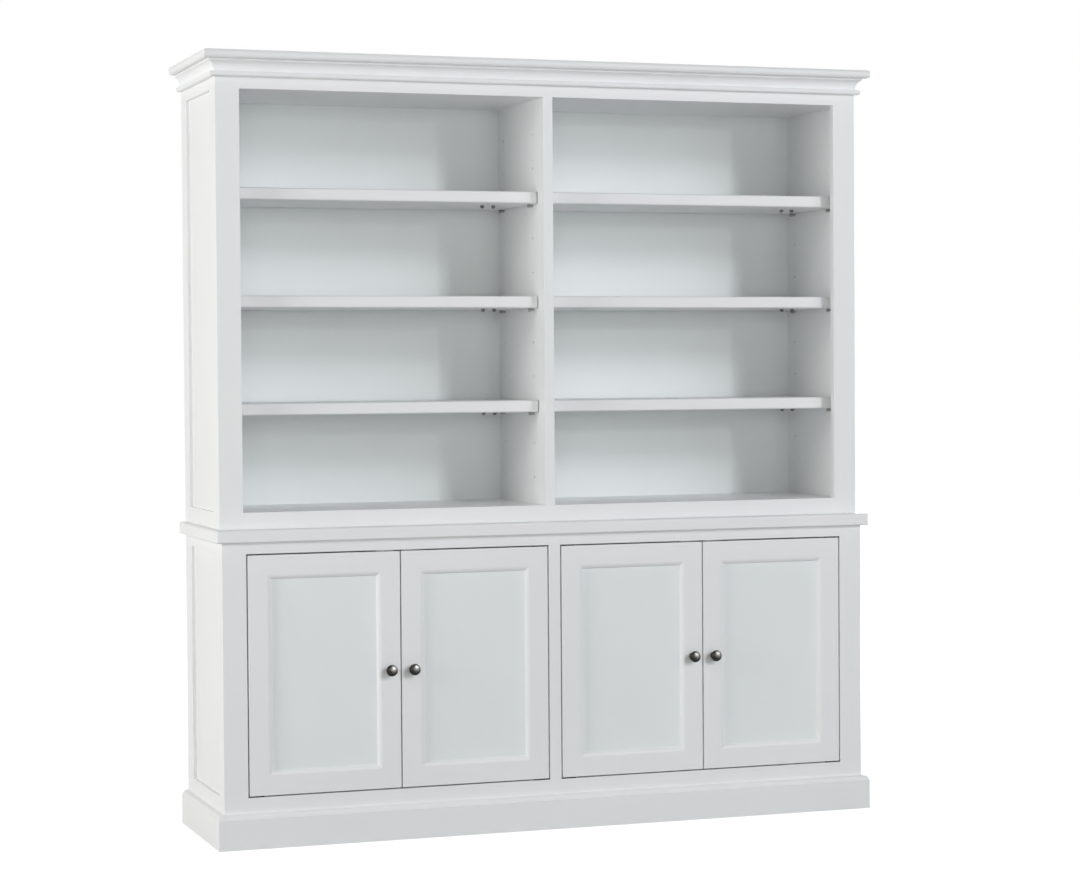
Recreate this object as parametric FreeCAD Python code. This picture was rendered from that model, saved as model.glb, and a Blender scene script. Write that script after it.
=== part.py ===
import FreeCAD, Part

import math
import os

# A painted bookcase in two stacked units: an open hutch with six adjustable shelves stands
# on a base cabinet with four inset doors. Millimetres, +Z up, the front faces -Y. The origin
# is on the floor, in the middle of the outline that the crown, the back and the knobs give.

os.makedirs("parts", exist_ok=True)

# Overall sizes. Depths are counted forward from the back plane.
overall_height = 1957
carcass_width = 1724
base_depth = 428
hutch_depth = 400
counter_height = 784

# Countertop, and the dowels in it that place the hutch
countertop_thickness = 30.5
countertop_overhang = 16
countertop_top_round = 6
countertop_bottom_round = 3
countertop_corner_round = 4
dowel_radius = 4
dowel_fit = 0.05
dowel_reach = 14
dowel_end_room = 2
dowel_setback = 60

# Crown: a round-edged cap board over a moulding with a fillet, a cove and a bead
cap_thickness = 21.5
cap_overhang = 33
cap_edge_round = 9
cap_corner_round = 3
cove_setback = 2
cove_width = 13
cove_height = 23
fillet_projection = 17
fillet_height = 4.5
bead_projection = 13
bead_height = 13
bead_round = 5.5
bead_quirk = 2

# Plinth boards with a moulded top edge
plinth_projection = 17
plinth_flat_height = 75
plinth_quirk = 1.5
plinth_bead_radius = 9.5

# Side walls: a board with a frame of thin boards on its outer face
side_board_thickness = 19
side_frame_thickness = 9
hutch_side_front_width = 61
hutch_side_back_width = 58
base_side_front_width = 56
base_side_back_width = 68

# Back: a panel set in from the back plane, with rails behind it
back_panel_thickness = 6
back_rail_thickness = 32
hutch_back_rail_height = 90
base_back_rail_height = 75
wall_hole_spacing = 406
wall_hole_radius = 2
wall_hole_depth = 25
wall_hole_drop = 40

# Face frames
frame_thickness = 20
frame_edge_round = 1.5
opening_edge_round = 1
outer_stile_width = 61
hutch_center_width = 26
base_center_width = 31
hutch_top_rail_show = 28.5
hutch_bottom_rail_height = 41
hutch_reveal = 2.5
base_top_rail_height = 29
base_bottom_rail_show = 33
base_bottom_rail_hidden = 50

# Fixed boards
fixed_board_thickness = 20
base_top_rail_depth = 90

# Adjustable shelves
hutch_shelf_count = 3
base_shelf_count = 1
hutch_shelf_thickness = 30
base_shelf_thickness = 20
hutch_shelf_setback = 45
base_shelf_setback = 67
shelf_end_gap = 3
shelf_back_gap = 2
shelf_edge_round = 4.5
shelf_seat_gap = 0.3

# Shelf pins and their holes. The unused holes lie at these shares of the height between
# two shelves, and a little higher above the floor board.
pin_radius = 3
pin_fit = 0.05
pin_depth = 9
pin_end_room = 0.5
pin_neck_length = 7
pin_head_radius = 4.2
pin_head_length = 7
pin_head_round = 1.2
pin_front_setback = 40
pin_back_setback = 43
spare_row_shares = (0.263, 0.632)
floor_row_raise = 6

# Doors: a frame round a flat panel, with a bevel along the frame's inner edge
door_thickness = 20
door_gap = 3.4
door_frame_flat = 49
door_bevel_width = 11
door_bevel_depth = 7
door_bevel_step = 1.5
door_edge_round = 1
door_panel_thickness = 6
door_groove_depth = 8
door_panel_gap = 1

# Pivot hinges in the top and bottom edge of each door
pivot_from_edge = 8.5
pivot_from_face = 6.5
pivot_pin_radius = 2.5
pivot_fit = 0.05
pivot_pin_length = 12
pivot_end_room = 2
pivot_shoulder_radius = 3.5
bush_radius = 4
hinge_plate_length = 40
hinge_plate_width = 10
hinge_plate_gap = 0.7
hinge_seat_gap = 0.3

# Magnetic catch for each door, and the strike plate that it holds
catch_width = 44
catch_depth = 15
catch_drop = 30
catch_from_edge = 32
catch_gap = 0.4
strike_width = 38
strike_height = 13
strike_thickness = 1.4

# Knobs
knob_from_edge = 28
knob_projection = 26
knob_head_radius = 14.5
knob_rim_round = 1.4
knob_dome_height = 7.5
knob_flare_round = 5
knob_neck_radius = 5
knob_foot_radius = 9
knob_foot_height = 2.5
knob_foot_round = 1
knob_cove_round = 2.5
knob_screw_radius = 2
knob_screw_fit = 0.05
knob_screw_grip = 9
knob_screw_head_radius = 4.5
knob_screw_head_height = 2.5

# Extra length of a cut past the face that it opens
overrun = 5

# A fillet takes at most this share of the wall that it rounds. Places nearer than the
# other share of the height are the same place.
fillet_limit_share = 0.45
same_place_share = 0.000001
full_turn = 360

# Places worked out from the sizes above
half_width = carcass_width / 2
back_y = (base_depth + knob_projection) / 2
base_front_y = back_y - base_depth
hutch_front_y = back_y - hutch_depth
base_frame_y = base_front_y + frame_thickness
hutch_frame_y = hutch_front_y + frame_thickness
panel_back_y = back_y - back_rail_thickness
panel_front_y = panel_back_y - back_panel_thickness

skin_x = half_width - side_frame_thickness
wall_x = skin_x - side_board_thickness
opening_x = half_width - outer_stile_width
hutch_center_x = hutch_center_width / 2
base_center_x = base_center_width / 2

counter_bottom = counter_height - countertop_thickness
base_open_top = counter_bottom - base_top_rail_height
base_rail_bottom = counter_bottom - fixed_board_thickness
plinth_cove_radius = plinth_projection - plinth_quirk - plinth_bead_radius
plinth_height = plinth_flat_height + plinth_quirk + plinth_bead_radius + plinth_cove_radius
base_open_bottom = plinth_height + base_bottom_rail_show

cap_bottom = overall_height - cap_thickness
moulding_bottom = cap_bottom - fillet_height - cove_height - bead_quirk - bead_height
hutch_open_top = moulding_bottom - hutch_top_rail_show
hutch_open_bottom = counter_height + hutch_bottom_rail_height
hutch_frame_bottom = counter_height + hutch_reveal

hutch_shelf_y = hutch_front_y + hutch_shelf_setback
base_shelf_y = base_front_y + base_shelf_setback
shelf_back_y = panel_front_y - shelf_back_gap

door_frame_width = door_frame_flat + door_bevel_width
door_width = (opening_x - base_center_x - 3 * door_gap) / 2
door_bottom = base_open_bottom + door_gap
door_top = base_open_top - door_gap
door_back_y = base_front_y + door_thickness
door_panel_y = base_front_y + door_bevel_depth + door_bevel_step
pivot_y = base_front_y + pivot_from_face
bush_length = pivot_pin_length + pivot_end_room
catch_bottom = base_rail_bottom - catch_drop
catch_y = door_back_y + strike_thickness + catch_gap
knob_z = (door_bottom + door_top) / 2


def vec(x, y, z):
    return FreeCAD.Vector(x, y, z)


def near(a, b):
    return abs(a - b) < same_place_share * overall_height


def box(xs, ys, zs):
    """Box over three ranges, each given by its two ends in either order."""
    low = [min(ends) for ends in (xs, ys, zs)]
    size = [abs(ends[1] - ends[0]) for ends in (xs, ys, zs)]
    return Part.makeBox(*size, vec(*low))


def about(middle, width):
    """Range of a width about its middle."""
    return middle - width / 2, middle + width / 2


def rod(radius, start, end):
    """Round bar from one point to another."""
    run = end - start
    return Part.makeCylinder(radius, run.Length, start, run)


def edges_where(shape, test):
    """Edges whose end points all pass a test."""
    return [edge for edge in shape.Edges if all(test(v.Point) for v in edge.Vertexes)]


def arc(center, start, end):
    """Arc about a centre, as its middle point and its end, in a profile's own plane."""
    way = [start[i] + end[i] - 2 * center[i] for i in (0, 1)]
    scale = math.dist(center, start) / math.hypot(*way)
    return (center[0] + way[0] * scale, center[1] + way[1] * scale), end


def face_of(profile, place):
    """Flat face inside a closed profile. A step of the profile is a point, or the middle
    and end of an arc from the last point, and place gives each point in space."""
    edges = []
    here = profile[0]
    for step in profile[1:] + profile[:1]:
        if isinstance(step[0], tuple):
            middle, end = step
            curve = Part.Arc(place(*here), place(*middle), place(*end))
        else:
            end = step
            curve = Part.LineSegment(place(*here), place(*end))
        edges.append(curve.toShape())
        here = end
    return Part.Face(Part.Wire(edges))


def prism(plan, bottom, top):
    """Upright prism over a plan outline."""
    corners = [vec(x, y, bottom) for x, y in plan]
    return Part.Face(Part.makePolygon(corners + corners[:1])).extrude(vec(0, 0, top - bottom))


def turned(profile, start, axis):
    """Piece turned about an axis. The profile's points are (distance along it, radius)."""
    across = vec(axis.y, axis.z, axis.x)
    face = face_of(profile, lambda along, radius: start + axis * along + across * radius)
    return face.revolve(start, axis, full_turn)


def rounded_slab(reach, front, bottom, top, low_round, high_round, corner_round):
    """Board with its front and side edges rounded below and above, square at the back,
    and with its two upright front corners eased."""
    ys, zs = (front, back_y), (bottom, top)
    slab = box((-reach, reach), ys, zs)
    for height, radius in ((bottom, low_round), (top, high_round)):
        edges = edges_where(slab, lambda p: near(p.z, height))
        slab = slab.makeFillet(radius, [e for e in edges if not near(e.CenterOfMass.y, back_y)])
    eased = box((-reach, reach), ys, zs)
    corners = [e for e in edges_where(eased, lambda p: near(p.y, front)) if near(e.Length, top - bottom)]
    return slab.common(eased.makeFillet(corner_round, corners)).Solids


def mitred_runs(profile, front, reach, bottom, top):
    """A moulding carried round the front and both sides of the carcass, cut on the mitre.
    The profile's points are (distance out from the carcass, height)."""
    outline = face_of(profile, lambda out, z: vec(-half_width - reach, front - out, z))
    plan = [(-half_width, front), (-half_width - reach, front - reach),
            (half_width + reach, front - reach), (half_width, front)]
    run = outline.extrude(vec(carcass_width + 2 * reach, 0, 0))
    runs = [run.common(prism(plan, bottom, top)).Solids]
    for side in (-1, 1):
        outline = face_of(profile, lambda out, z: vec(side * (half_width + out), front - reach, z))
        plan = [(side * half_width, front), (side * (half_width + reach), front - reach),
                (side * (half_width + reach), back_y), (side * half_width, back_y)]
        run = outline.extrude(vec(0, back_y - front + reach, 0))
        runs.append(run.common(prism(plan, bottom, top)).Solids)
    return runs


def crown():
    """Cap board, and the moulding under it: a bead, a quirk, a cove and a fillet."""
    bead_top = moulding_bottom + bead_height
    bead_in = bead_projection - bead_round
    low_start, low_end = (bead_in, moulding_bottom), (bead_projection, moulding_bottom + bead_round)
    high_start, high_end = (bead_projection, bead_top - bead_round), (bead_in, bead_top)
    cove_start = (cove_setback, bead_top + bead_quirk)
    cove_end = (cove_setback + cove_width, cove_start[1] + cove_height)
    cove_radius = (cove_width ** 2 + cove_height ** 2) / (2 * cove_width)
    profile = [
        (0, moulding_bottom), low_start,
        arc((bead_in, low_end[1]), low_start, low_end), high_start,
        arc((bead_in, high_start[1]), high_start, high_end),
        (cove_setback, bead_top), cove_start,
        arc((cove_setback + cove_radius, cove_start[1]), cove_start, cove_end),
        (fillet_projection, cove_end[1]), (fillet_projection, cap_bottom), (0, cap_bottom)]
    front_run, left_run, right_run = mitred_runs(
        profile, hutch_front_y, cap_overhang, moulding_bottom, cap_bottom)
    edge_round = min(cap_edge_round, fillet_limit_share * cap_thickness)
    cap = rounded_slab(half_width + cap_overhang, hutch_front_y - cap_overhang, cap_bottom,
                       overall_height, edge_round, edge_round, cap_corner_round)
    return {"crown_cap": cap, "crown_moulding_front": front_run,
            "crown_moulding_left": left_run, "crown_moulding_right": right_run}


def plinth():
    """Plinth boards: a flat face, then a small bead and a cove back to the carcass."""
    bead_out = plinth_projection - plinth_quirk
    bead_in = bead_out - plinth_bead_radius
    bead_start = (bead_out, plinth_flat_height + plinth_quirk)
    bead_end = (bead_in, bead_start[1] + plinth_bead_radius)
    profile = [
        (0, 0), (plinth_projection, 0), (plinth_projection, plinth_flat_height), bead_start,
        arc((bead_in, bead_start[1]), bead_start, bead_end),
        arc((bead_in, plinth_height), bead_end, (0, plinth_height))]
    front_run, left_run, right_run = mitred_runs(
        profile, base_front_y, plinth_projection, 0, plinth_height)
    return {"plinth_front": front_run, "plinth_left": left_run, "plinth_right": right_run}


def dowel_places():
    """Where the dowels stand, in the middle of the hutch's side boards."""
    across = wall_x + side_board_thickness / 2
    return [(side * across, y) for side in (-1, 1)
            for y in (hutch_frame_y + dowel_setback, back_y - dowel_setback)]


def countertop():
    slab = rounded_slab(half_width + countertop_overhang, base_front_y - countertop_overhang,
                        counter_bottom, counter_height, countertop_bottom_round,
                        countertop_top_round, countertop_corner_round)
    dowels = [rod(dowel_radius, vec(x, y, counter_height - dowel_reach),
                  vec(x, y, counter_height + dowel_reach)) for x, y in dowel_places()]
    return {"countertop": slab[0].cut(Part.makeCompound(dowels)).Solids + dowels}


def eased_openings(frame, outward):
    """Round the edges of the openings in a frame's outer face."""
    faces = [face for face in frame.Faces if near(face.normalAt(0, 0).dot(outward), 1)]
    outer = max(faces, key=lambda face: face.Area)
    rims = [wire for wire in outer.Wires if not wire.isSame(outer.OuterWire)]
    return frame.makeFillet(opening_edge_round, [edge for wire in rims for edge in wire.Edges])


def face_frame(unit, front, bottom, top, rail_bottom, open_bottom, open_top, center_x):
    """Stiles and rails of a face frame. It is rounded as one frame and then parted where
    the boards meet, so that no groove shows between them."""
    through = (front - overrun, front + frame_thickness + overrun)
    frame = box((-half_width, half_width), (front, front + frame_thickness), (bottom, top))
    for side in (-1, 1):
        frame = frame.cut(box((side * center_x, side * opening_x), through, (open_bottom, open_top)))
    if rail_bottom > bottom:
        frame = frame.cut(box((-opening_x, opening_x), through, (bottom - overrun, rail_bottom)))
    corners = edges_where(frame, lambda p: near(p.y, front) and near(abs(p.x), half_width))
    upright = [edge for edge in corners if near(edge.Length, top - bottom)]
    frame = eased_openings(frame.makeFillet(frame_edge_round, upright), vec(0, -1, 0))
    boards = {
        "stile_left": ((-half_width, -opening_x), (bottom, top)),
        "stile_right": ((opening_x, half_width), (bottom, top)),
        "stile_center": ((-center_x, center_x), (open_bottom, open_top)),
        "rail_top": ((-opening_x, opening_x), (open_top, top)),
        "rail_bottom": ((-opening_x, opening_x), (rail_bottom, open_bottom)),
    }
    return {unit + "_" + name: frame.common(box(xs, through, zs)).Solids
            for name, (xs, zs) in boards.items()}


def side_frames(unit, front, front_width, back_width, bottom, top, open_bottom, open_top):
    """Thin boards on the outer face of each side wall: two stiles, and two rails between."""
    frame_y = front + frame_thickness
    inner_y = (front + front_width, back_y - back_width)
    nodes = {}
    for name, side in (("left", -1), ("right", 1)):
        through = (side * (skin_x - overrun), side * (half_width + overrun))
        frame = box((side * skin_x, side * half_width), (frame_y, back_y), (bottom, top))
        frame = frame.cut(box(through, inner_y, (open_bottom, open_top)))
        frame = eased_openings(frame, vec(side, 0, 0))
        boards = [((frame_y, inner_y[0]), (bottom, top)), ((inner_y[1], back_y), (bottom, top)),
                  (inner_y, (bottom, open_bottom)), (inner_y, (open_top, top))]
        nodes[unit + "_side_frame_" + name] = [
            frame.common(box(through, ys, zs)).Solids[0] for ys, zs in boards]
    return nodes


def shelf_bottoms(low, high, count, thickness):
    """Undersides of evenly spaced shelves between two fixed boards."""
    clear = (high - low - count * thickness) / (count + 1)
    return [low + clear + i * (clear + thickness) for i in range(count)]


def pin_places(front, low, high, count, thickness):
    """Depths of the two pin columns, and heights of the used and of the unused rows."""
    bottoms = shelf_bottoms(low, high, count, thickness)
    clear = bottoms[0] - low
    floors = [low + floor_row_raise] + [bottom + thickness for bottom in bottoms]
    columns = (front + pin_front_setback, shelf_back_y - pin_back_setback)
    used = [bottom - shelf_seat_gap - pin_head_radius for bottom in bottoms]
    spare = [floor + share * clear for floor in floors for share in spare_row_shares]
    return columns, used, spare


def drilled(board, face_x, way, places):
    """Blind pin holes in a board, from its face at face_x, which looks along way."""
    columns, used, spare = places
    start_x, end_x = face_x + way * overrun, face_x - way * (pin_depth + pin_end_room)
    holes = [rod(pin_radius + pin_fit, vec(start_x, y, z), vec(end_x, y, z))
             for y in columns for z in used + spare]
    return board.cut(Part.makeCompound(holes))


def shelf_pin(face_x, way, y, z):
    """Pin that stands out of a wall at face_x along way, with a thicker head."""
    tip = pin_neck_length + pin_head_length
    round_start = (tip - pin_head_round, pin_head_radius)
    round_end = (tip, pin_head_radius - pin_head_round)
    profile = [
        (-pin_depth, 0), (-pin_depth, pin_radius), (pin_neck_length, pin_radius),
        (pin_neck_length, pin_head_radius), round_start,
        arc((round_start[0], round_end[1]), round_start, round_end), (tip, 0)]
    return turned(profile, vec(face_x, y, z), vec(way, 0, 0))


def adjustable_shelf(xs, front, bottom, thickness):
    """Plain board with its two long front edges rounded."""
    shelf = box(xs, (front, shelf_back_y), (bottom, bottom + thickness))
    edges = edges_where(shelf, lambda p: near(p.y, front))
    radius = min(shelf_edge_round, fillet_limit_share * thickness)
    return shelf.makeFillet(radius, [edge for edge in edges if near(edge.Length, abs(xs[1] - xs[0]))])


def shelves_and_pins(center_x, front, low, high, count, thickness, patterns):
    """Adjustable shelves of both bays, named from the lowest up, and the pins under them."""
    columns, used, spare = pin_places(front, low, high, count, thickness)
    nodes, pins = {}, []
    for name, side in (("left", -1), ("right", 1)):
        xs = (side * (center_x + shelf_end_gap), side * (wall_x - shelf_end_gap))
        for pattern, bottom in zip(patterns, shelf_bottoms(low, high, count, thickness)):
            nodes[pattern.format(name)] = [adjustable_shelf(xs, front, bottom, thickness)]
        for y in columns:
            for z in used:
                pins.append(shelf_pin(side * center_x, side, y, z))
                pins.append(shelf_pin(side * wall_x, -side, y, z))
    return nodes, pins


def back(unit, bottom, top, rail_height):
    """Back panel between the side boards, with a rail behind its foot and its top."""
    xs = (-wall_x, wall_x)
    solids = [box(xs, (panel_front_y, panel_back_y), (bottom, top))]
    for zs in ((bottom, bottom + rail_height), (top - rail_height, top)):
        solids.append(box(xs, (panel_back_y, back_y), zs))
    return {unit + "_back": solids}


def wall_holes():
    """Pilot holes from the back for the screws of the two tip-over straps."""
    z = cap_bottom - wall_hole_drop
    return Part.makeCompound([rod(wall_hole_radius, vec(x, back_y + overrun, z),
                                  vec(x, back_y - wall_hole_depth, z))
                              for x in about(0, wall_hole_spacing)])


def hutch():
    """Open upper unit, without its crown and shelves."""
    across, deep = (-wall_x, wall_x), (hutch_frame_y, panel_front_y)
    places = pin_places(hutch_shelf_y, hutch_open_bottom, hutch_open_top,
                        hutch_shelf_count, hutch_shelf_thickness)
    floor_zs = (hutch_open_bottom - fixed_board_thickness, hutch_open_bottom)
    top_zs = (hutch_open_top, hutch_open_top + fixed_board_thickness)
    nodes = {"hutch_floor": [box(across, deep, floor_zs)],
             "hutch_top_board": [box(across, deep, top_zs)]}
    divider = box((-hutch_center_x, hutch_center_x), deep, (hutch_open_bottom, hutch_open_top))
    dowel_holes = Part.makeCompound([
        rod(dowel_radius + dowel_fit, vec(x, y, counter_height - overrun),
            vec(x, y, counter_height + dowel_reach + dowel_end_room)) for x, y in dowel_places()])
    for name, side in (("left", -1), ("right", 1)):
        divider = drilled(divider, side * hutch_center_x, side, places)
        board = box((side * wall_x, side * skin_x), (hutch_frame_y, back_y), (counter_height, cap_bottom))
        nodes["hutch_side_" + name] = drilled(board, side * wall_x, -side, places).cut(dowel_holes).Solids
    nodes["hutch_divider"] = divider.Solids
    nodes.update(back("hutch", counter_height, cap_bottom, hutch_back_rail_height))
    nodes["hutch_back"][-1] = nodes["hutch_back"][-1].cut(wall_holes()).Solids[0]
    nodes.update(face_frame("hutch", hutch_front_y, hutch_frame_bottom, cap_bottom, hutch_frame_bottom,
                            hutch_open_bottom, hutch_open_top, hutch_center_x))
    nodes.update(side_frames("hutch", hutch_front_y, hutch_side_front_width, hutch_side_back_width,
                             hutch_frame_bottom, cap_bottom, hutch_open_bottom, hutch_open_top))
    return nodes


def base():
    """Base cabinet, without its countertop, plinth, shelves and doors."""
    across, deep = (-wall_x, wall_x), (base_frame_y, panel_front_y)
    floor_bottom = base_open_bottom - fixed_board_thickness
    places = pin_places(base_shelf_y, base_open_bottom, base_rail_bottom,
                        base_shelf_count, base_shelf_thickness)
    rails_zs = (base_rail_bottom, counter_bottom)
    nodes = {
        "base_floor": [box(across, deep, (floor_bottom, base_open_bottom))],
        "base_top_rails": [box(across, (deep[0], deep[0] + base_top_rail_depth), rails_zs),
                           box(across, (deep[1] - base_top_rail_depth, deep[1]), rails_zs)],
    }
    divider = box((-base_center_x, base_center_x), deep, (base_open_bottom, base_rail_bottom))
    for name, side in (("left", -1), ("right", 1)):
        divider = drilled(divider, side * base_center_x, side, places)
        board = box((side * wall_x, side * skin_x), (base_frame_y, back_y), (0, counter_bottom))
        nodes["base_side_" + name] = drilled(board, side * wall_x, -side, places).Solids
    nodes["base_divider"] = divider.Solids
    nodes.update(back("base", floor_bottom, counter_bottom, base_back_rail_height))
    nodes.update(face_frame("base", base_front_y, 0, counter_bottom,
                            plinth_height - base_bottom_rail_hidden,
                            base_open_bottom, base_open_top, base_center_x))
    nodes.update(side_frames("base", base_front_y, base_side_front_width, base_side_back_width,
                             0, counter_bottom, base_open_bottom, base_open_top))
    return nodes


def door_section():
    """Section of a door's stile or rail: (distance in from the edge, depth from the face)."""
    width = door_frame_width
    groove = width - door_groove_depth
    groove_front = door_bevel_depth + door_bevel_step
    groove_back = groove_front + door_panel_thickness
    return [(0, 0), (door_frame_flat, 0), (width, door_bevel_depth), (width, groove_front),
            (groove, groove_front), (groove, groove_back), (width, groove_back),
            (width, door_thickness), (0, door_thickness)]


def door_frame(xs, holes):
    """Two stiles over the full height, and two rails that are coped over their bevel."""
    keep = box(xs, (base_front_y, door_back_y), (door_bottom, door_top))
    keep = keep.makeFillet(door_edge_round, edges_where(keep, lambda p: near(p.y, base_front_y)))
    stiles, rails = [], []
    for edge_x, way in ((xs[0], 1), (xs[1], -1)):
        outline = face_of(door_section(),
                          lambda u, d: vec(edge_x + way * u, base_front_y + d, door_bottom))
        stiles.append(outline.extrude(vec(0, 0, door_top - door_bottom)))
    start_x = xs[0] + door_frame_flat
    for edge_z, way in ((door_bottom, 1), (door_top, -1)):
        outline = face_of(door_section(),
                          lambda u, d: vec(start_x, base_front_y + d, edge_z + way * u))
        rail = outline.extrude(vec(door_width - 2 * door_frame_flat, 0, 0))
        rails.append(rail.cut(Part.makeCompound(stiles)))
    return [board.common(keep).cut(holes).Solids[0] for board in stiles + rails]


def door_panel(xs):
    """Flat panel held in the grooves of the door's frame."""
    inset = door_frame_width - door_groove_depth + door_panel_gap
    return box((xs[0] + inset, xs[1] - inset), (door_panel_y, door_panel_y + door_panel_thickness),
               (door_bottom + inset, door_top - inset))


def knob(x):
    """Mushroom knob: a foot, a neck and a domed head, with the hole for its screw."""
    head_edge = knob_head_radius - knob_rim_round
    rim_top = knob_projection - knob_dome_height
    rim_bottom = rim_top - 2 * knob_rim_round
    foot_start = (knob_foot_height - knob_foot_round, knob_foot_radius)
    foot_end = (knob_foot_height, knob_foot_radius - knob_foot_round)
    cove_start = (knob_foot_height, knob_neck_radius + knob_cove_round)
    cove_end = (knob_foot_height + knob_cove_round, knob_neck_radius)
    flare_start = (rim_bottom - knob_flare_round, knob_neck_radius)
    flare_end = (rim_bottom, knob_neck_radius + knob_flare_round)
    dome_radius = (head_edge ** 2 + knob_dome_height ** 2) / (2 * knob_dome_height)
    profile = [
        (0, 0), (0, knob_foot_radius), foot_start,
        arc((foot_start[0], foot_end[1]), foot_start, foot_end), cove_start,
        arc((cove_end[0], cove_start[1]), cove_start, cove_end), flare_start,
        arc((flare_start[0], flare_end[1]), flare_start, flare_end), (rim_bottom, head_edge),
        ((rim_bottom + knob_rim_round, knob_head_radius), (rim_top, head_edge)),
        arc((knob_projection - dome_radius, 0), (rim_top, head_edge), (knob_projection, 0))]
    body = turned(profile, vec(x, base_front_y, knob_z), vec(0, -1, 0))
    return body.cut(knob_screw(x)).Solids[0]


def knob_screw(x):
    """Screw from the back of the door, through it and into the knob."""
    face, back_face = vec(x, base_front_y, knob_z), vec(x, door_back_y, knob_z)
    shank = rod(knob_screw_radius, back_face, face - vec(0, knob_screw_grip, 0))
    head = rod(knob_screw_head_radius, back_face, back_face + vec(0, knob_screw_head_height, 0))
    return shank.fuse(head).removeSplitter().Solids[0]


def pivot(plate_xs, pin_x, z, way):
    """Plate fixed to the case at height z, its pin that reaches along way into the door,
    and the shoulder round the pin that the door turns on."""
    foot = vec(pin_x, pivot_y, z)
    plate = box(plate_xs, about(pivot_y, hinge_plate_width), (z, z + way * (door_gap - hinge_plate_gap)))
    pin = rod(pivot_pin_radius, foot, foot + vec(0, 0, way * (door_gap + pivot_pin_length)))
    shoulder = rod(pivot_shoulder_radius, foot, foot + vec(0, 0, way * (door_gap - hinge_seat_gap)))
    return plate.fuse([pin, shoulder]).removeSplitter().Solids[0]


def bush(x, z, way):
    """Bush for a pivot pin, in the door's edge at height z, reaching along way into it."""
    mouth, end = vec(x, pivot_y, z), vec(x, pivot_y, z + way * bush_length)
    return rod(bush_radius, mouth, end).cut(rod(pivot_pin_radius + pivot_fit, mouth, end)).Solids[0]


def door_holes(pivot_x, knob_x):
    """Holes in a door for its two bushes and for the screw of its knob."""
    holes = [rod(bush_radius, vec(pivot_x, pivot_y, z - way * overrun),
                 vec(pivot_x, pivot_y, z + way * bush_length))
             for z, way in ((door_bottom, 1), (door_top, -1))]
    holes.append(rod(knob_screw_radius + knob_screw_fit,
                     vec(knob_x, base_front_y - overrun, knob_z),
                     vec(knob_x, door_back_y + overrun, knob_z)))
    return Part.makeCompound(holes)


def doors():
    """Four doors, each hung on two pivots, and what holds them to the case."""
    nodes, hardware = {}, []
    hung = ((-opening_x, 1), (-base_center_x, -1), (base_center_x, 1), (opening_x, -1))
    for number, (jamb_x, way) in enumerate(hung, 1):
        label = str(number)
        hinge_x, free_x = jamb_x + way * door_gap, jamb_x + way * (door_gap + door_width)
        xs = sorted((hinge_x, free_x))
        pivot_x = hinge_x + way * pivot_from_edge
        knob_x = free_x - way * knob_from_edge
        catch_x = free_x - way * catch_from_edge
        plate_xs = (jamb_x, jamb_x + way * hinge_plate_length)
        strike = box(about(catch_x, strike_width), (door_back_y, door_back_y + strike_thickness),
                     (catch_bottom, catch_bottom + strike_height))
        catch = box(about(catch_x, catch_width), (catch_y, catch_y + catch_depth),
                    (catch_bottom, base_rail_bottom))
        hardware += [pivot(plate_xs, pivot_x, base_open_bottom, 1),
                     pivot(plate_xs, pivot_x, base_open_top, -1), catch]
        nodes["door_frame_" + label] = door_frame(xs, door_holes(pivot_x, knob_x))
        nodes["door_panel_" + label] = [door_panel(xs)]
        nodes["knob_" + label] = [knob(knob_x), knob_screw(knob_x)]
        nodes["door_fittings_" + label] = [
            bush(pivot_x, door_bottom, 1), bush(pivot_x, door_top, -1), strike]
    nodes["door_hardware"] = hardware
    return nodes


def shelves():
    upper, upper_pins = shelves_and_pins(
        hutch_center_x, hutch_shelf_y, hutch_open_bottom, hutch_open_top, hutch_shelf_count,
        hutch_shelf_thickness, ("shelf_{}_bottom", "shelf_{}_middle", "shelf_{}_top"))
    lower, lower_pins = shelves_and_pins(
        base_center_x, base_shelf_y, base_open_bottom, base_rail_bottom, base_shelf_count,
        base_shelf_thickness, ("base_shelf_{}",))
    return {**upper, **lower, "shelf_pins": upper_pins + lower_pins}


for group in (crown(), hutch(), countertop(), base(), plinth(), shelves(), doors()):
    for node, solids in group.items():
        shape = solids[0] if len(solids) == 1 else Part.makeCompound(solids)
        shape.exportStep("parts/" + node + ".step")
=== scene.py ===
"""A painted bookcase with an open hutch on a base with four doors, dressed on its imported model.

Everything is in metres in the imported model's frame: X runs along the front from left to right,
Y goes back from the front to the wall, Z goes up from the floor."""
from math import cos, pi, radians, sin

import bpy
import numpy as np
from mathutils import Matrix, Vector


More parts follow.
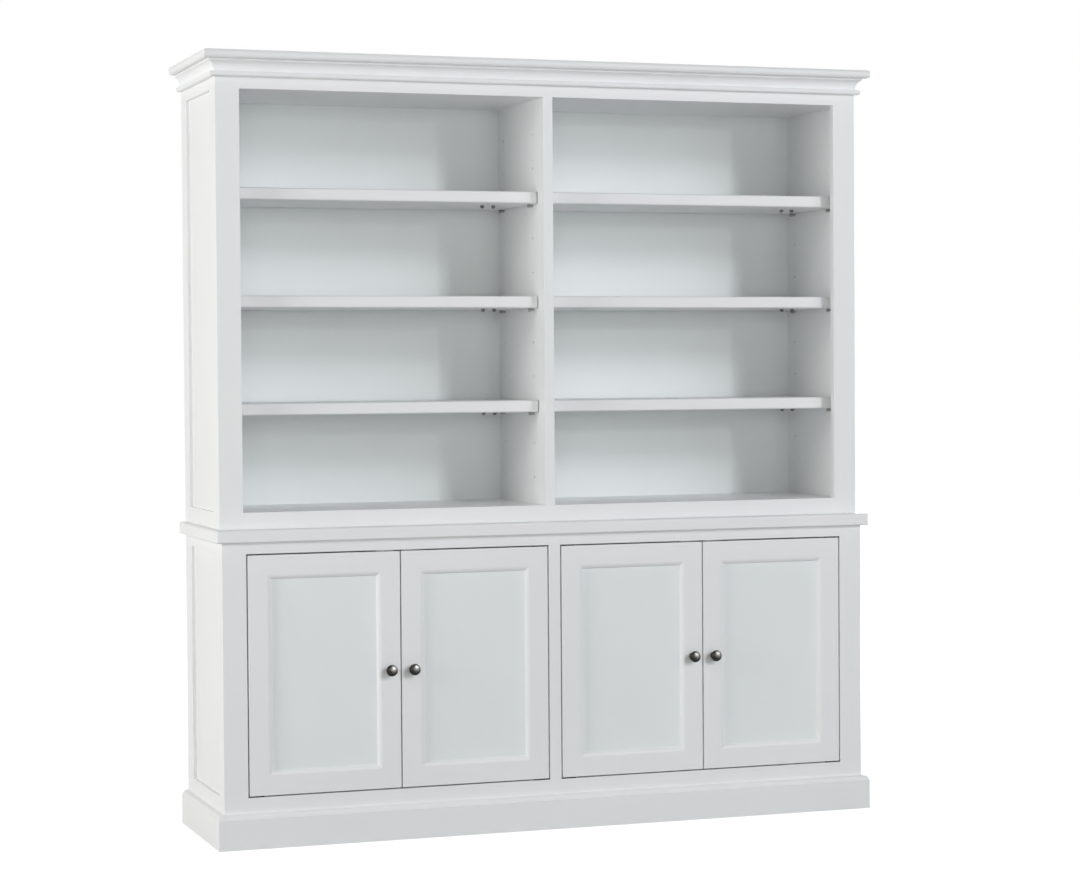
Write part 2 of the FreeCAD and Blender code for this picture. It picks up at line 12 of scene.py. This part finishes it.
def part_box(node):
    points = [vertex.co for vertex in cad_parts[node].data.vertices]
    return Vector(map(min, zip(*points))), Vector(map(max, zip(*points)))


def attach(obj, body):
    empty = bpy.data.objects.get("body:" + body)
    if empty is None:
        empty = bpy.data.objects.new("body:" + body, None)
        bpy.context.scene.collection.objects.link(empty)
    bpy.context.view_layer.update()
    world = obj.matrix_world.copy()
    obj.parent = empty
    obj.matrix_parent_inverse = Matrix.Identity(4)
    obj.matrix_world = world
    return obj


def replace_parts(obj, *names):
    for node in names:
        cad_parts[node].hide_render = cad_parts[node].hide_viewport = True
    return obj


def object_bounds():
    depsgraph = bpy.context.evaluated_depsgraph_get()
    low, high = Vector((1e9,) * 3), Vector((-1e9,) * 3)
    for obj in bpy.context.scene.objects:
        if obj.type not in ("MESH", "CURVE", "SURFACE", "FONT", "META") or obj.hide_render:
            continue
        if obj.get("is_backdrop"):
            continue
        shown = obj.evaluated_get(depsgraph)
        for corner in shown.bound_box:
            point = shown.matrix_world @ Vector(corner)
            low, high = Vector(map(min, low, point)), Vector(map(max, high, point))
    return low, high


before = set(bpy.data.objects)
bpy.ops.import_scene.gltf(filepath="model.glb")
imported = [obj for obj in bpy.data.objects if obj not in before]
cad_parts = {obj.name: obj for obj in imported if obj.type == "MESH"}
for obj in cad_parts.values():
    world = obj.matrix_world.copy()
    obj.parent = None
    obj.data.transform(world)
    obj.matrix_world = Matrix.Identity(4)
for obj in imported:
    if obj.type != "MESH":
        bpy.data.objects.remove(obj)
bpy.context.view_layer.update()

scene = bpy.context.scene
mm = 0.001
noise_low, noise_high = 0.3, 0.7   # most of a noise texture lies between these


# Shader maths

class Wire:
    """One socket of a finish. Sums, products and powers of wires and numbers add Math nodes."""

    def __init__(self, finish, socket):
        self.finish = finish
        self.socket = socket

    def __add__(self, other):
        return self.finish.maths("ADD", self, other)

    def __radd__(self, other):
        return self.finish.maths("ADD", other, self)

    def __sub__(self, other):
        return self.finish.maths("SUBTRACT", self, other)

    def __rsub__(self, other):
        return self.finish.maths("SUBTRACT", other, self)

    def __mul__(self, other):
        return self.finish.maths("MULTIPLY", self, other)

    def __pow__(self, other):
        return self.finish.maths("POWER", self, other)


class Finish:
    """A material under construction. Every node but those of plain maths comes from node()."""

    def __init__(self, name):
        self.material = bpy.data.materials.new(name)
        self.material.use_nodes = True
        self.tree = self.material.node_tree
        self.tree.nodes.clear()

    def node(self, kind, settings=None, sockets=None, out=0):
        """Adds a node: its settings first, then numbers or wires for its sockets."""
        made = self.tree.nodes.new(kind)
        for key, value in (settings or {}).items():
            setattr(made, key, value)
        for key, value in (sockets or {}).items():
            if isinstance(value, Wire):
                self.tree.links.new(value.socket, made.inputs[key])
            else:
                made.inputs[key].default_value = value
        return Wire(self, made.outputs[out]) if len(made.outputs) else made

    def maths(self, operation, first, second=0.0):
        return self.node("ShaderNodeMath", {"operation": operation}, {0: first, 1: second})

    def place(self):
        """Where on the object the shaded point is, in metres."""
        return self.node("ShaderNodeTexCoord", out="Object")

    def coordinate(self, where, axis):
        """One coordinate of a place; the axis is "X", "Y" or "Z"."""
        return self.node("ShaderNodeSeparateXYZ", {}, {0: where}, out=axis)

    def stretched(self, where, scale):
        return self.node("ShaderNodeMapping", {}, {"Vector": where, "Scale": scale})

    def noise(self, where, scale, detail, roughness):
        return self.node("ShaderNodeTexNoise", {}, {
            "Vector": where, "Scale": scale, "Detail": detail, "Roughness": roughness})

    def ranged(self, value, low, high, to_low, to_high):
        return self.node("ShaderNodeMapRange", {"clamp": True}, {
            "Value": value, "From Min": low, "From Max": high, "To Min": to_low, "To Max": to_high})

    def spread(self, noise):
        """0 where a noise is low, 1 where it is high."""
        return self.ranged(noise, noise_low, noise_high, 0.0, 1.0)

    def swing(self, noise, by):
        """A number between -by and by that follows a noise."""
        return self.ranged(noise, noise_low, noise_high, -by, by)

    def blended(self, factor, first, second):
        """Colour first where factor is 0, second where it is 1."""
        return self.node("ShaderNodeMix", {"data_type": "RGBA"}, {0: factor, 6: first, 7: second},
                         out=2)

    def bump(self, height, depth):
        return self.node("ShaderNodeBump", {},
                         {"Height": height, "Distance": depth, "Strength": 1.0})

    def lacquer(self, **sockets):
        """The shader itself, and the material's output. Its arguments are the shader's sockets,
        with _ for a space."""
        shader = self.node("ShaderNodeBsdfPrincipled", {},
                           {key.replace("_", " "): value for key, value in sockets.items()})
        self.node("ShaderNodeOutputMaterial", {}, {"Surface": shader})
        return self.material


def srgb(red, green, blue):
    """A colour written in 0 to 255, as the linear colour that shaders take."""
    share = np.array([red, green, blue]) / 255
    linear = np.where(share < 0.04045, share / 12.92, ((share + 0.055) / 1.055) ** 2.4)
    return (*linear.tolist(), 1.0)


# Finishes

paint_face = srgb(245, 246, 246)
paint_shade = srgb(241, 242, 243)
panel_face = srgb(242, 246, 246)
panel_shade = srgb(238, 242, 242)

# The walls that the shelf pins stand in, from the middle of the bookcase, and how far out of
# the wall the cap on a pin's head starts.
outer_wall, inner_wall, cap_start = 0.834, 0.013, 7 * mm
# Steel ahead of this Y sits in the doors' edges, in the door gaps, and is coloured dark there as
# painted shade of the gaps.
gap_shade_until = -0.186
knob_outer, knob_inner, knob_height = 0.43795, 0.37855, 0.42475
knob_places = {"1": -knob_outer, "2": -knob_inner, "3": knob_inner, "4": knob_outer}
# The lighter patch on a knob, partly polish wear and partly a painted highlight, lies this far to
# the right of its middle and above it, where the lamps' highlight falls.
wear_and_highlight_lean = 4.5 * mm


def satin_paint(name, run, face=paint_face, shade=paint_shade, base_gloss=0.47, brushed_by=0.14):
    """Satin paint on boards that run along run (0, 1 or 2 for X, Y or Z). The tone drifts a little
    over an arm's length, the brush leaves the faintest streaks along the board, and the film has
    the shallow ripple of a sprayed coat, with sparse dust nibs. base_gloss is the roughness that
    the rest swings about, and brushed_by is how much the streaks stand out of the film."""
    streaks_across, streaks_along = 150.0, 4.0
    drift_low, drift_high, drift_share, streak_share = 0.32, 0.68, 0.88, 0.12
    nib_start, nib_full, nib_dulling = 0.80, 0.86, 0.08
    ripple_height, grain_height, nib_height, film_depth = 0.20, 0.04, 0.30, 0.03 * mm
    finish = Finish(name)
    place = finish.place()
    brush_scale = [streaks_across] * 3
    brush_scale[run] = streaks_along
    drift = finish.noise(place, 2.3, 3.0, 0.55)
    streak = finish.noise(finish.stretched(place, brush_scale), 1.0, 3.0, 0.6)
    ripple = finish.noise(place, 310.0, 2.0, 0.5)
    grain = finish.noise(place, 1900.0, 1.0, 0.5)
    nib = finish.ranged(finish.noise(place, 260.0, 0.0, 0.0), nib_start, nib_full, 0.0, 1.0)
    tone = (finish.ranged(drift, drift_low, drift_high, 0.0, 1.0) * drift_share
            + finish.spread(streak) * streak_share)
    gloss = (base_gloss + finish.swing(drift, 0.03) + finish.swing(streak, 0.02)
             + nib * nib_dulling)
    height = (streak * brushed_by + ripple * ripple_height + grain * grain_height
              + nib * nib_height)
    return finish.lacquer(Base_Color=finish.blended(tone, shade, face), Roughness=gloss,
                          IOR=1.45, Coat_Weight=0.08, Coat_Roughness=0.3,
                          Normal=finish.bump(height, film_depth))


def aged_bronze(name):
    """Dark burnished metal of the knobs, nearly black away from a lighter patch on the dome. The
    patch is partly wear where fingers polish the dome and partly a painted highlight, so it lies a
    little above the dome's middle and to the right, where the lamps' highlight falls."""
    wear_and_highlight_full, wear_and_highlight_end, wear_and_highlight_falloff = 1 * mm, 14 * mm, 1.8
    darkest, dark, wear_and_highlight_colour = srgb(40, 39, 38), srgb(52, 51, 49), srgb(158, 157, 154)
    base_gloss, speck_low, speck_high = 0.30, 0.35, 0.7
    cloud_low, cloud_high, least_wear_and_highlight = 0.25, 0.60, 0.75
    finish = Finish(name)
    place = finish.place()
    across = finish.coordinate(place, "X")
    beside = 1.0
    for middle in knob_places.values():
        beside = finish.maths("MINIMUM", beside,
                              finish.maths("ABSOLUTE", across - (middle + wear_and_highlight_lean)))
    above = finish.coordinate(place, "Z") - (knob_height + wear_and_highlight_lean)
    from_wear_and_highlight = (beside * beside + above * above) ** 0.5
    cloud = finish.noise(place, 130.0, 3.0, 0.55)
    speck = finish.noise(place, 1400.0, 3.0, 0.6)
    # Painted highlight and polish wear: lighter towards the patch above and right of each knob's
    # middle.
    wear_and_highlight = (finish.ranged(from_wear_and_highlight, wear_and_highlight_full, wear_and_highlight_end, 1.0, 0.0) ** wear_and_highlight_falloff
              * finish.ranged(cloud, cloud_low, cloud_high, least_wear_and_highlight, 1.0))
    burnished = finish.blended(finish.ranged(speck, speck_low, speck_high, 0.0, 1.0),
                               darkest, dark)
    gloss = base_gloss + finish.swing(cloud, 0.03) + finish.swing(speck, 0.02)
    return finish.lacquer(Base_Color=finish.blended(wear_and_highlight, burnished, wear_and_highlight_colour),
                          Metallic=1.0, Roughness=gloss,
                          Normal=finish.bump(cloud * 0.3 + speck * 0.7, 0.004 * mm))


def plated_steel(name, dark, light, gloss):
    """Plated steel with the fine drawing lines and clouds of a barrel-plated part. What sits in the
    doors' edges, ahead of their backs, is coloured dark and duller as painted shade of the door
    gaps."""
    lines_along, lines_across = 500.0, 3000.0
    gap_shade_edge, gap_shade_colour, gap_shade_dulling = 1 * mm, srgb(40, 38, 36), 0.6
    finish = Finish(name)
    place = finish.place()
    cloud = finish.noise(place, 240.0, 3.0, 0.6)
    drawn = finish.stretched(place, (lines_along, lines_across, lines_across))
    fine = finish.noise(drawn, 1.0, 2.0, 0.6)
    plating = finish.blended(finish.spread(cloud), dark, light)
    # Painted shade: the steel that shows in the door gaps is coloured dark.
    painted_gap_shade = finish.ranged(finish.coordinate(place, "Y"), gap_shade_until - gap_shade_edge,
                            gap_shade_until, 1.0, 0.0)
    return finish.lacquer(Base_Color=finish.blended(painted_gap_shade, plating, gap_shade_colour),
                          Metallic=1.0 - painted_gap_shade * gap_shade_dulling,
                          Roughness=gloss + finish.swing(fine, 0.06),
                          Normal=finish.bump(fine * 0.5 + cloud * 0.5, 0.02 * mm))


def dark_rubber(name):
    """Matt moulded rubber with a fine bloom."""
    base_gloss = 0.62
    finish = Finish(name)
    bloom = finish.noise(finish.place(), 420.0, 3.0, 0.6)
    colour = finish.blended(finish.spread(bloom), srgb(100, 99, 97), srgb(122, 121, 118))
    return finish.lacquer(Base_Color=colour, Roughness=base_gloss + finish.swing(bloom, 0.05),
                          Normal=finish.bump(bloom, 0.03 * mm))


def capped_pin(name):
    """Shelf pins: a plated neck at the wall and a grey cap on the head, told apart by how far the
    point is from the nearest of the walls that the pins stand in."""
    cap_edge, cap_dulling, base_gloss = 0.4 * mm, 0.2, 0.36
    steel_dark, steel_light, cap_colour = (srgb(158, 157, 154), srgb(190, 189, 186),
                                           srgb(160, 158, 155))
    finish = Finish(name)
    place = finish.place()
    across = finish.maths("ABSOLUTE", finish.coordinate(place, "X"))
    from_wall = finish.maths("MINIMUM", finish.maths("ABSOLUTE", across - outer_wall),
                             across - inner_wall)
    cap = finish.ranged(from_wall, cap_start, cap_start + cap_edge, 0.0, 1.0)
    cloud = finish.noise(place, 600.0, 3.0, 0.6)
    steel = finish.blended(finish.spread(cloud), steel_dark, steel_light)
    return finish.lacquer(Base_Color=finish.blended(cap, steel, cap_colour), Metallic=1.0 - cap,
                          Roughness=base_gloss + cap * cap_dulling + finish.swing(cloud, 0.05),
                          Normal=finish.bump(cloud, 0.02 * mm))


paint_x = satin_paint("satin_paint_along_x", 0)
paint_y = satin_paint("satin_paint_along_y", 1)
paint_z = satin_paint("satin_paint_upright", 2)
panel_z = satin_paint("satin_paint_back_panel", 2, panel_face, panel_shade)
floor_x = satin_paint("satin_paint_rubbed_smooth", 0, base_gloss=0.35, brushed_by=0.0)
bronze = aged_bronze("aged_bronze")
pin_metal = capped_pin("capped_pin_steel")
stud_rubber = dark_rubber("dark_rubber")
zinc = plated_steel("zinc_plated_steel", srgb(165, 166, 166), srgb(196, 197, 196), 0.32)

along_x = ("crown_cap", "crown_moulding_front", "hutch_top_board", "hutch_floor", "hutch_rail",
           "shelf_left", "shelf_right", "countertop", "base_floor", "base_top_rails", "base_rail",
           "plinth_front", "base_shelf")
along_y = ("crown_moulding_left", "crown_moulding_right", "plinth_left", "plinth_right")
plated = ("door_hardware", "door_fittings")


def finish_of(name):
    """The finish of a node, by what it is made of and which way its boards run."""
    if name.startswith("knob"):
        return bronze
    if name == "shelf_pins":
        return pin_metal
    if name.startswith(plated):
        return zinc
    if name == "hutch_floor":
        return floor_x
    if name.startswith(along_x):
        return paint_x
    if name.startswith(along_y):
        return paint_y
    if name in ("hutch_back", "base_back") or name.startswith("door_panel"):
        return panel_z
    return paint_z


for node_name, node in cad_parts.items():
    node.data.materials.clear()
    node.data.materials.append(finish_of(node_name))


# Surfaces

def piece_of(name, points, faces, finish, body, sharp=40):
    """Puts points and faces into a piece that rides on body, with its material slot. Edges over
    sharp degrees stay crisp."""
    mesh = bpy.data.meshes.new(name)
    mesh.from_pydata(points.tolist(), [], faces)
    mesh.update()
    mesh.shade_smooth()
    mesh.set_sharp_from_angle(angle=radians(sharp))
    mesh.materials.append(finish)
    piece = bpy.data.objects.new(name, mesh)
    scene.collection.objects.link(piece)
    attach(piece, body)
    return piece


def turned(profile, start, way, count=96):
    """Surface of revolution. Row i of the grid is the circle of radius profile[i, 1] round the
    axis, profile[i, 0] from start along way; the first and last rows close in a point."""
    axis = np.array(way, float)
    side = np.cross(axis, (0.0, 0.0, 1.0) if abs(axis[2]) < 0.9 else (1.0, 0.0, 0.0))
    side /= np.linalg.norm(side)
    up = np.cross(axis, side)
    turn = np.arange(count) * 2 * pi / count
    ring = np.cos(turn)[:, None] * side + np.sin(turn)[:, None] * up
    inner = profile[1:-1]
    rows = (np.array(start) + inner[:, :1, None].transpose(0, 2, 1) * axis
            + inner[:, 1:, None].transpose(0, 2, 1) * ring[None])
    points = np.vstack([np.array(start) + profile[0, 0] * axis, rows.reshape(-1, 3),
                        np.array(start) + profile[-1, 0] * axis])
    row, column = np.meshgrid(np.arange(len(inner) - 1), np.arange(count), indexing="ij")
    here = 1 + row * count + column
    beside = 1 + row * count + (column + 1) % count
    quads = np.stack([here, beside, beside + count, here + count], -1).reshape(-1, 4)
    around = np.arange(count)
    after = (around + 1) % count
    last = 1 + (len(inner) - 1) * count
    first_fan = np.stack([np.zeros(count, int), 1 + after, 1 + around], -1)
    last_fan = np.stack([np.full(count, len(points) - 1), last + around, last + after], -1)
    return points, quads.tolist() + first_fan.tolist() + last_fan.tolist()


def bow(centre, start, end, count):
    """Points of the short arc about centre from start to end, both given as (along, radius)."""
    centre, start, end = (np.array(p, float) for p in (centre, start, end))
    first = np.arctan2(*(start - centre)[::-1])
    swing = np.arctan2(*(end - centre)[::-1]) - first
    swing = (swing + pi) % (2 * pi) - pi
    turn = first + np.linspace(0, 1, count) * swing
    radius = np.linalg.norm(start - centre)
    return centre + radius * np.stack([np.cos(turn), np.sin(turn)], -1)


# Knobs

def knob_profile():
    """Outline of the mushroom knob: a rounded foot, a cove into the neck, the flare under the head,
    the rolled rim and the dome that runs on from it, in mm along the axis and from it."""
    foot, neck, head, rim, dome, reach = 9.0, 5.0, 14.5, 3.4, 28.0, 26.0
    foot_edge, foot_round, cove, flare = 1.5, 1.0, 2.5, 5.0
    cove_start = foot_edge + foot_round
    cove_end = cove_start + cove
    edge, middle = head - rim, reach - dome
    rim_middle = middle + ((dome - rim) ** 2 - edge ** 2) ** 0.5
    rim_bottom = rim_middle - rim
    meet = (middle + dome * (rim_middle - middle) / (dome - rim), dome * edge / (dome - rim))
    return np.vstack([
        [(0, 0), (0, foot)],
        bow((foot_edge, foot - foot_round), (foot_edge, foot), (cove_start, foot - foot_round), 8),
        bow((cove_end, neck + cove), (cove_start, neck + cove), (cove_end, neck), 12),
        bow((rim_bottom - flare, neck + flare), (rim_bottom - flare, neck),
            (rim_bottom, neck + flare), 16),
        bow((rim_middle, edge), (rim_bottom, edge), meet, 20),
        bow((middle, 0), meet, (reach, 0), 24)[1:-1],
        [(reach, 0)]]) * mm


def screw_profile(radius, height):
    """Outline of a pan head: a straight rim, a rounded shoulder and a nearly flat top."""
    shoulder = 0.55 * height
    flat = 0.3 * radius
    return np.vstack([
        [(0, 0), (0, radius)],
        bow((height - shoulder, radius - shoulder), (height - shoulder, radius),
            (height, radius - shoulder), 8),
        [(height, flat), (height, 0)]])


door_front, door_back = -0.201, -0.181
screw_radius, screw_height = 4.5 * mm, 2.5 * mm
small_count = 32   # points round a screw or a stud
for label, across in knob_places.items():
    body = "door_" + label
    points, faces = turned(knob_profile(), (across, door_front, knob_height), (0, -1, 0))
    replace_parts(piece_of("knob_cast_" + label, points, faces, bronze, body),
                "knob_" + label)
    points, faces = turned(screw_profile(screw_radius, screw_height),
                           (across, door_back, knob_height), (0, 1, 0), small_count)
    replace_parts(piece_of("knob_screw_" + label, points, faces, zinc, body),
                "knob_" + label)


# Mouldings

def carried(profile, corners, inward, across, ring):
    """Carries the closed outline profile along corners: its point i at corner k is corners[k]
    + profile[i, 0] * inward[k] + profile[i, 1] * across. A ring meets itself, a run has ends."""
    corners, inward, across = (np.array(a, float) for a in (corners, inward, across))
    points = (corners[:, None] + profile[None, :, :1] * inward[:, None]
              + profile[None, :, 1:] * across)
    count, stops = len(profile), len(corners)
    stop, row = np.meshgrid(np.arange(stops if ring else stops - 1), np.arange(count),
                            indexing="ij")
    after, beside = (stop + 1) % stops, (row + 1) % count
    faces = np.stack([stop * count + row, stop * count + beside, after * count + beside,
                      after * count + row], -1).reshape(-1, 4).tolist()
    if not ring:
        faces += [list(range(count))[::-1], list(range((stops - 1) * count, stops * count))]
    return points.reshape(-1, 3), faces


# The inner edge of each door's frame, from the flat of the frame down to the panel: an arc that
# leaves the flat almost level and meets the panel steeply. The points are in mm, in from the
# frame's outer edge and back from its front, and the last two close the outline in the wood.
arc_middle, arc_flat, arc_panel = (47.73, 14.22), (48.6, 0.0), (60.0, 7.0)
hidden_corners = [(59.6, 7.3), (49.0, 0.5)]
moulding_profile = np.vstack([bow(arc_middle, arc_flat, arc_panel, 18), hidden_corners]) * mm
moulding_crisp = 4.5   # degrees between faces from which an edge stays crisp
for label in knob_places:
    low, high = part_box("door_frame_" + label)
    corners = [(low.x, door_front, low.z), (low.x, door_front, high.z),
               (high.x, door_front, high.z), (high.x, door_front, low.z)]
    points, faces = carried(moulding_profile, corners,
                            [(1, 0, 1), (1, 0, -1), (-1, 0, -1), (-1, 0, 1)], (0, 1, 0), True)
    moulding = piece_of("door_moulding_" + label, points, faces, paint_x, "door_" + label,
                        sharp=moulding_crisp)
    moulding.data.materials.append(paint_z)
    upright = np.repeat([1, 0, 1, 0], len(moulding_profile))
    moulding.data.polygons.foreach_set("material_index", upright)

# The hutch stands on the countertop on a thin foot, set back a little from its frames. The
# points are in mm: how far in from the frames, and the height.
foot_profile = np.array([(8.0, 784.0), (8.0, 786.5), (1.6, 786.5), (1.2, 786.1), (1.2, 784.4),
                         (1.6, 784.0)]) * mm
low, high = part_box("hutch_side_frame_left")
foot_side, foot_front, foot_back = low.x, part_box("hutch_stile_left")[0].y, high.y
points, faces = carried(foot_profile, [(foot_side, foot_back, 0), (foot_side, foot_front, 0),
                                       (-foot_side, foot_front, 0), (-foot_side, foot_back, 0)],
                        [(1, 0, 0), (1, 1, 0), (-1, 1, 0), (-1, 0, 0)], (0, 0, 1), False)
piece_of("hutch_foot", points, faces, paint_x, "root")


# Studs under the shelves

stud_from_end = (81.5 * mm, 111.5 * mm)
stud_row_y = -20 * mm
stud_radius, stud_height = 5.0 * mm, 8.0 * mm
for bay in ("left", "right"):
    for row in ("top", "middle", "bottom"):
        shelf = "shelf_%s_%s" % (bay, row)
        low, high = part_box(shelf)
        for number, inset in enumerate(stud_from_end, 1):
            points, faces = turned(screw_profile(stud_radius, stud_height),
                                   (high.x - inset, stud_row_y, low.z), (0, 0, -1),
                                   small_count)
            piece_of("%s_stud_%d" % (shelf, number), points, faces, stud_rubber,
                     shelf + "_body")


# Floor, light and camera

def white_floor():
    """A pale floor that goes on to where the background starts. It is lit like any floor, and what
    the camera and mirrors see of it is lifted to the white of the background."""
    floor_reach = 60.0
    glow_from, glow_until, near_glow, tone = 1.3, 2.8, 0.80, 0.45
    mesh = bpy.data.meshes.new("studio_floor")
    mesh.from_pydata([(x * floor_reach, y * floor_reach, 0.0)
                      for x, y in ((-1, -1), (1, -1), (1, 1), (-1, 1))], [], [(0, 1, 2, 3)])
    finish = Finish("studio_floor")
    path = "ShaderNodeLightPath"
    seen = finish.maths("MAXIMUM", finish.node(path, out="Is Camera Ray"),
                        finish.maths("MAXIMUM", finish.node(path, out="Is Glossy Ray"),
                                     finish.node(path, out="Is Transmission Ray")))
    away = finish.node("ShaderNodeVectorMath", {"operation": "LENGTH"}, {0: finish.place()},
                       out="Value")
    lift = finish.ranged(away, glow_from, glow_until, near_glow, 1.0)
    plain = finish.node("ShaderNodeBsdfDiffuse", {}, {"Color": (tone, tone, tone, 1.0)})
    glow = finish.node("ShaderNodeEmission", {}, {"Strength": seen * lift})
    finish.node("ShaderNodeOutputMaterial", {},
                {"Surface": finish.node("ShaderNodeAddShader", {}, {0: plain, 1: glow})})
    mesh.materials.append(finish.material)
    floor = bpy.data.objects.new("studio_floor", mesh)
    scene.collection.objects.link(floor)
    floor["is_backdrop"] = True


def white_world(strength):
    """Even light from all round; the camera, mirrors and glass see it as white."""
    world = bpy.data.worlds.new("studio")
    world.use_nodes = True
    tree = world.node_tree
    tree.nodes.clear()
    path = tree.nodes.new("ShaderNodeLightPath")
    most = [tree.nodes.new("ShaderNodeMath") for _ in range(2)]
    for node in most:
        node.operation = "MAXIMUM"
    tree.links.new(path.outputs["Is Camera Ray"], most[0].inputs[0])
    tree.links.new(path.outputs["Is Glossy Ray"], most[0].inputs[1])
    tree.links.new(most[0].outputs[0], most[1].inputs[0])
    tree.links.new(path.outputs["Is Transmission Ray"], most[1].inputs[1])
    level = tree.nodes.new("ShaderNodeMapRange")
    level.inputs["To Min"].default_value = strength
    level.inputs["To Max"].default_value = 1.0
    tree.links.new(most[1].outputs[0], level.inputs["Value"])
    sky = tree.nodes.new("ShaderNodeBackground")
    sky.inputs["Color"].default_value = (1.0, 1.0, 1.0, 1.0)
    tree.links.new(level.outputs[0], sky.inputs["Strength"])
    out = tree.nodes.new("ShaderNodeOutputWorld")
    tree.links.new(sky.outputs[0], out.inputs["Surface"])
    scene.world = world


def softbox(name, place, aim, width, height, power, colour):
    """A rectangular lamp at place that faces aim."""
    lamp = bpy.data.lights.new(name, "AREA")
    lamp.color = colour
    lamp.shape = "RECTANGLE"
    lamp.size, lamp.size_y = width, height
    lamp.energy = power
    holder = bpy.data.objects.new(name, lamp)
    holder.location = place
    holder.rotation_euler = (Vector(aim) - Vector(place)).to_track_quat("-Z", "Y").to_euler()
    scene.collection.objects.link(holder)


def studio_camera():
    """The camera of the photograph: its place, and its view turned, tipped and rolled."""
    place = (-2.2570, -6.5497, 1.1783)
    turn, tip, roll = 0.3364, 0.0276, -0.0070
    ahead = Vector((sin(turn), cos(turn), 0))
    right = Vector((cos(turn), -sin(turn), 0))
    up = Vector((0, 0, 1))
    view = ahead * cos(tip) - up * sin(tip)
    crown = up * cos(tip) + ahead * sin(tip)
    across = right * cos(roll) + crown * sin(roll)
    rise = crown * cos(roll) - right * sin(roll)
    facing = Matrix((across, rise, -view)).transposed().to_4x4()
    camera = bpy.data.objects.new("camera", bpy.data.cameras.new("camera"))
    camera.data.lens = 88.27
    camera.data.sensor_width = 36.0
    camera.data.clip_end = 200.0
    camera.matrix_world = Matrix.Translation(place) @ facing
    scene.collection.objects.link(camera)
    scene.camera = camera


white_floor()
white_world(0.03)
cool, warm = (0.945, 0.968, 1.0), (1.0, 0.995, 0.972)
bookcase_middle, below_middle = (0, 0, 1.2), (0, 0, 1.0)
softbox("key_low", (4.1, -8.8, 2.7), bookcase_middle, 0.35, 0.35, 48, cool)
softbox("key_broad", (4.4, -8.0, 4.2), bookcase_middle, 3.2, 2.6, 112, cool)
softbox("key_high", (4.1, -9.7, 5.9), bookcase_middle, 1.15, 2.3, 200, cool)
softbox("key_side", (5.2, -4.8, 2.6), bookcase_middle, 2.5, 2.5, 48, cool)
softbox("fill_front", (-2.7, -7.3, 1.6), below_middle, 2.0, 2.0, 48, warm)
softbox("fill_middle", (0.3, -8.2, 1.5), below_middle, 2.2, 1.6, 48, warm)
softbox("fill_left_rear", (-5.0, 0.9, 1.9), (-0.9, 0.1, 1.2), 3.0, 3.0, 32, warm)
softbox("fill_left", (-5.55, -1.35, 1.9), (0, -0.2, 1.2), 1.8, 3.0, 152, warm)
softbox("fill_right", (5.5, 1.2, 1.9), (0.9, 0.1, 1.2), 3.0, 3.0, 50, warm)
softbox("fill_rear", (2.4, 5.2, 2.4), (0.1, 0.2, 1.0), 3.0, 3.0, 150, warm)
softbox("fill_top", (0.3, 0.8, 5.2), (0.1, 0.3, 1.9), 2.0, 1.5, 30, warm)
studio_camera()

scene.view_settings.view_transform = "Standard"

low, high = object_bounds()
